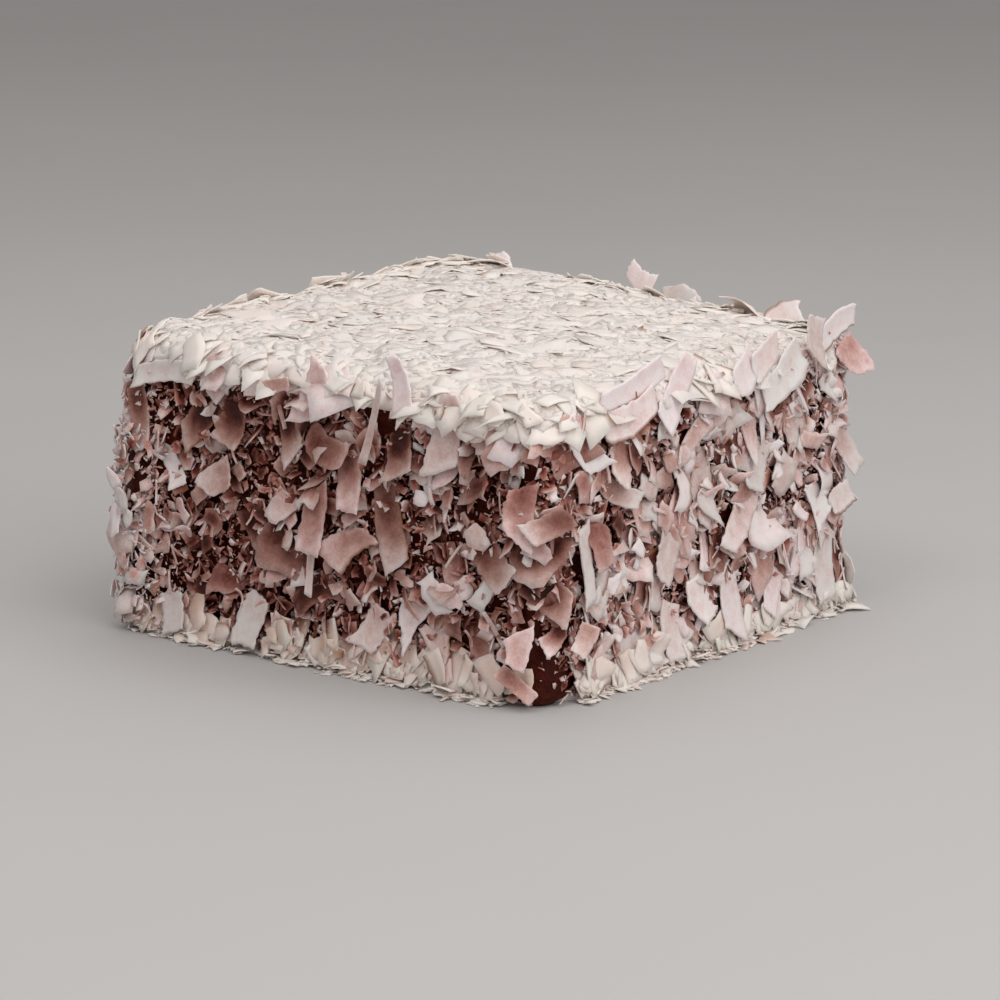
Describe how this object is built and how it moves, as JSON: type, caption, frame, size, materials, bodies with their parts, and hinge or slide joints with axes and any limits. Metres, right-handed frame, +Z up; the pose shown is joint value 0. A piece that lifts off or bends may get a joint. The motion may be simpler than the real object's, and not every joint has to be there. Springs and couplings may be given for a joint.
{
  "type": "lamington cake",
  "caption": "Square lamington cake: a chocolate-iced sponge coated on the top and all sides in coconut chips, with a bare patch of icing at the foot of one corner.",
  "frame": {"origin": "middle of the flat base, on the surface that the cake stands on", "axes": "+Z up, -Y out of the front face (the left one of the two in the picture), +X out of the right-hand face"},
  "size_m": [0.2315, 0.2311, 0.1274],
  "materials": {
    "chocolate_icing": "set dark chocolate icing, glossy where bare",
    "coconut_white": "dry white coconut chips, soft sheen, slightly translucent",
    "coconut_tinted": "coconut chips stained mauve-brown by the icing, slightly translucent"
  },
  "bodies": {
    "root": {"chip_back_01": "coconut_tinted", "chip_back_02": "coconut_tinted", "chip_back_03": "coconut_tinted", "chip_back_04": "coconut_tinted", "chip_back_05": "coconut_tinted", "chip_back_06": "coconut_tinted", "chip_back_07": "coconut_tinted", "chip_corner_01": "coconut_tinted", "chip_corner_02": "coconut_tinted", "chip_front_01": "coconut_tinted", "chip_front_02": "coconut_tinted", "chip_front_03": "coconut_tinted", "chip_front_04": "coconut_tinted", "chip_front_05": "coconut_tinted", "chip_front_06": "coconut_tinted", "chip_front_07": "coconut_tinted", "chip_front_08": "coconut_tinted", "chip_front_09": "coconut_tinted", "chip_front_10": "coconut_tinted", "chip_front_11": "coconut_tinted", "chip_front_12": "coconut_tinted", "chip_front_13": "coconut_tinted", "chip_front_14": "coconut_tinted", "chip_front_15": "coconut_tinted", "chip_front_16": "coconut_tinted", "chip_front_17": "coconut_tinted", "chip_left_01": "coconut_tinted", "chip_left_02": "coconut_tinted", "chip_left_03": "coconut_tinted", "chip_left_04": "coconut_tinted", "chip_left_05": "coconut_tinted", "chip_left_06": "coconut_tinted", "chip_left_07": "coconut_tinted", "chip_left_08": "coconut_tinted", "chip_left_09": "coconut_tinted", "chip_right_01": "coconut_tinted", "chip_right_02": "coconut_tinted", "chip_right_03": "coconut_tinted", "chip_right_04": "coconut_tinted", "chip_right_05": "coconut_tinted", "chip_right_06": "coconut_tinted", "chip_right_07": "coconut_tinted", "chip_right_08": "coconut_tinted", "chip_right_09": "coconut_tinted", "chip_right_10": "coconut_tinted", "chip_right_11": "coconut_tinted", "chip_right_12": "coconut_tinted", "chip_right_13": "coconut_tinted", "chip_right_14": "coconut_tinted", "chip_right_15": "coconut_tinted", "chip_right_16": "coconut_tinted", "chip_right_17": "coconut_tinted", "chip_right_18": "coconut_tinted", "chip_right_19": "coconut_tinted", "coconut_back": "coconut_tinted", "coconut_front": "coconut_tinted", "coconut_left": "coconut_tinted", "coconut_right": "coconut_tinted", "coconut_top": "coconut_white", "iced_cake": "chocolate_icing"}
  },
  "joints": []
}
